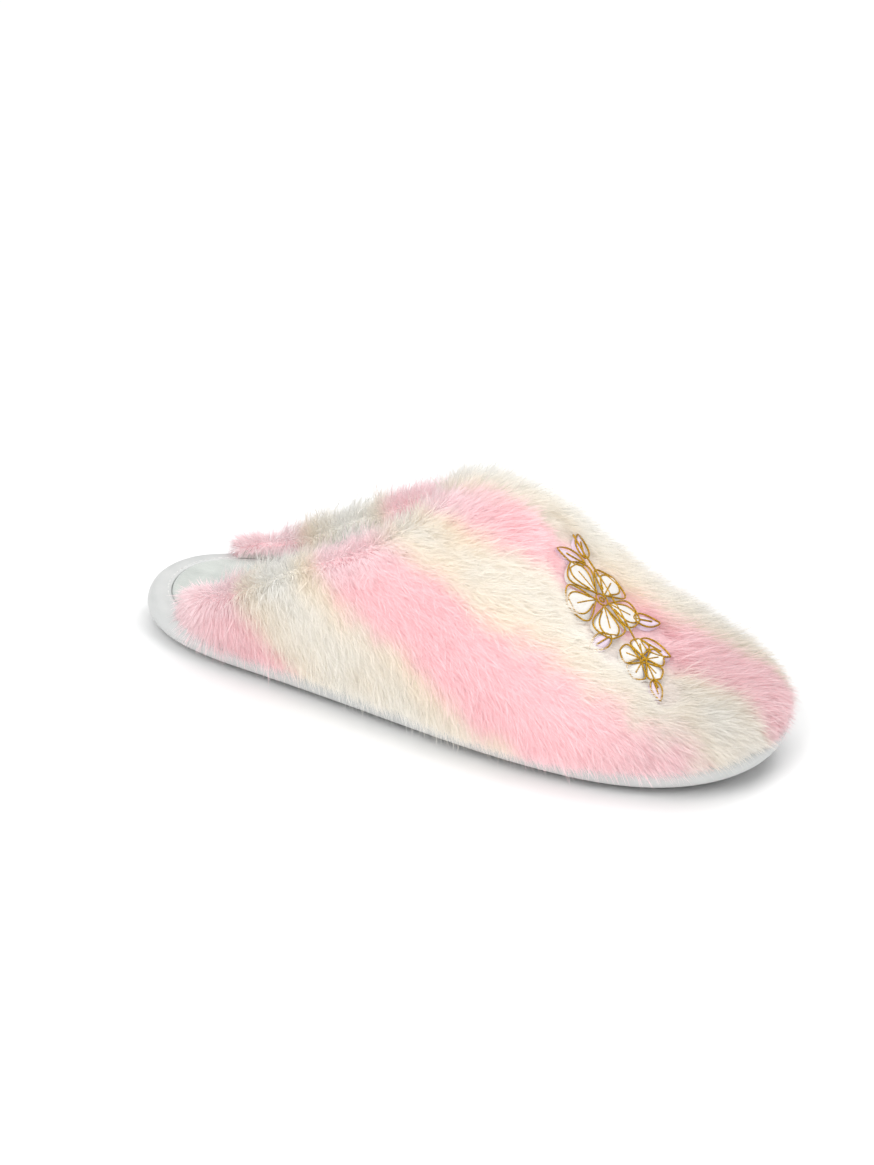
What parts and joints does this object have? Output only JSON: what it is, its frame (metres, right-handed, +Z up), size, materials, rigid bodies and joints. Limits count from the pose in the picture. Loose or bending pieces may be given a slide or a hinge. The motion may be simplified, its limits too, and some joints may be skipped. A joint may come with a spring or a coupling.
{
  "type": "plush slipper",
  "caption": "Backless indoor slipper for the right foot: hollow faux-fur upper, bound foam footbed and ribbed rubber outsole.",
  "frame": {"origin": "middle of the slipper's footprint box, on the floor", "axes": "+X towards the toe, +Y towards the medial side, +Z up"},
  "size_m": [0.2616, 0.12, 0.0866],
  "materials": {
    "outsole_rubber": "matt black moulded rubber with a smooth rim and stippled ribs",
    "binding_leather": "soft white coated leather, satin",
    "footbed_plush": "short pale plush on foam",
    "upper_fur": "deep pink and cream striped faux fur"
  },
  "bodies": {
    "root": {"outsole": "outsole_rubber", "binding": "binding_leather", "insole": "footbed_plush", "upper": "upper_fur"}
  },
  "joints": []
}
